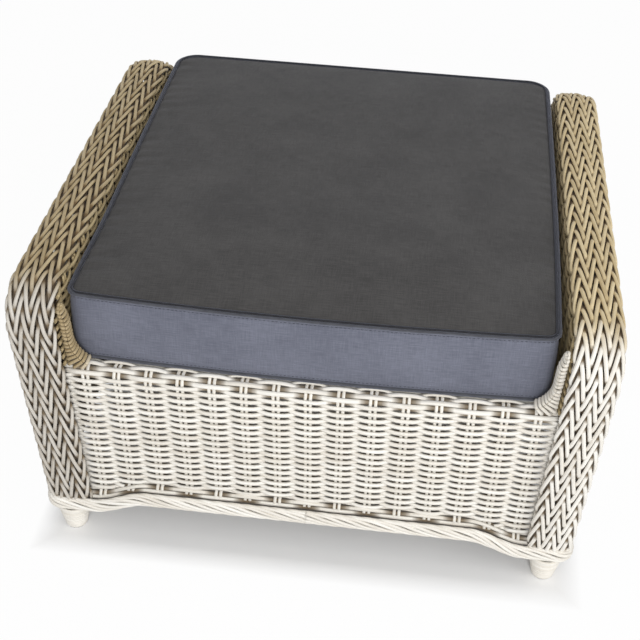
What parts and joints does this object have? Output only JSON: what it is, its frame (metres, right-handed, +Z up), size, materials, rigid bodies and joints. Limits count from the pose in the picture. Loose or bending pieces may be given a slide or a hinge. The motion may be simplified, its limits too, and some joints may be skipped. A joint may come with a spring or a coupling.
{
  "type": "outdoor ottoman footstool",
  "caption": "Patio ottoman: woven wicker over a tube frame, flared round-edged arms, arched rope border, tapered feet and a loose piped box cushion that lifts off.",
  "frame": {"origin": "on the floor, under the middle of the whole", "axes": "+Z up, -Y out of the front, +X to the right of someone facing the front"},
  "size_m": [0.7234, 0.7198, 0.4248],
  "materials": {
    "frame_tube": "taupe powder coat over extruded tube",
    "wicker_white": "whitewashed round plastic wicker",
    "wicker_tan": "light tan round plastic wicker",
    "foot_plastic": "ribbed wrap, whitewashed",
    "glide_rubber": "matt, pale grey",
    "cushion_fabric": "plain-weave outdoor cloth, charcoal",
    "piping_fabric": "corded piping in the cover's cloth",
    "foam": "open-cell foam",
    "zip_plastic": "coil zip on a woven tape",
    "zip_metal": "painted die-cast"
  },
  "bodies": {
    "frame": {"left_arm_outer_hoop": "frame_tube", "left_arm_inner_hoop": "frame_tube", "left_arm_front_spacer": "frame_tube", "left_arm_back_spacer": "frame_tube", "left_bottom_rail": "frame_tube", "left_seat_rail": "frame_tube", "left_arm_band": "wicker_tan", "left_inner_side_panel": "wicker_tan", "left_outer_side_panel": "wicker_white", "left_bottom_border": "wicker_white", "front_left_corner": "wicker_white", "front_left_foot_post": "frame_tube", "front_left_foot_sleeve": "foot_plastic", "front_left_foot_glide": "glide_rubber", "back_left_corner": "wicker_white", "back_left_foot_post": "frame_tube", "back_left_foot_sleeve": "foot_plastic", "back_left_foot_glide": "glide_rubber", "right_arm_outer_hoop": "frame_tube", "right_arm_inner_hoop": "frame_tube", "right_arm_front_spacer": "frame_tube", "right_arm_back_spacer": "frame_tube", "right_bottom_rail": "frame_tube", "right_seat_rail": "frame_tube", "right_arm_band": "wicker_tan", "right_inner_side_panel": "wicker_tan", "right_outer_side_panel": "wicker_white", "right_bottom_border": "wicker_white", "front_right_corner": "wicker_white", "front_right_foot_post": "frame_tube", "front_right_foot_sleeve": "foot_plastic", "front_right_foot_glide": "glide_rubber", "back_right_corner": "wicker_white", "back_right_foot_post": "frame_tube", "back_right_foot_sleeve": "foot_plastic", "back_right_foot_glide": "glide_rubber", "front_seat_rail": "frame_tube", "front_bottom_rail": "frame_tube", "front_top_border": "wicker_white", "front_panel": "wicker_white", "front_bottom_border": "wicker_white", "back_seat_rail": "frame_tube", "back_bottom_rail": "frame_tube", "back_top_border": "wicker_white", "back_panel": "wicker_white", "back_bottom_border": "wicker_white", "seat_cross_tube_1": "frame_tube", "seat_cross_tube_2": "frame_tube", "seat_cross_tube_3": "frame_tube", "seat_deck": "wicker_tan"},
    "cushion": {"cushion_cover": "cushion_fabric", "cushion_foam": "foam", "cushion_top_piping": "piping_fabric", "cushion_bottom_piping": "piping_fabric", "zip_tape": "zip_plastic"},
    "zip_slider": {"zip_slider": "zip_metal"},
    "zip_pull": {"zip_pull": "zip_metal"}
  },
  "joints": [
    {"name": "cushion_lift", "type": "slide", "parent": "frame", "child": "cushion", "axis": [0, 0, 1], "range_m": [0, 0.25]},
    {"name": "zip_slide", "type": "slide", "parent": "cushion", "child": "zip_slider", "axis": [-1, 0, 0], "range_m": [0, 0.39]},
    {"name": "zip_pull_swing", "type": "hinge", "parent": "zip_slider", "child": "zip_pull", "pos_m": [0.198, 0.32597, 0.352], "axis": [0, 0, -1], "range_deg": [0, 150]}
  ]
}
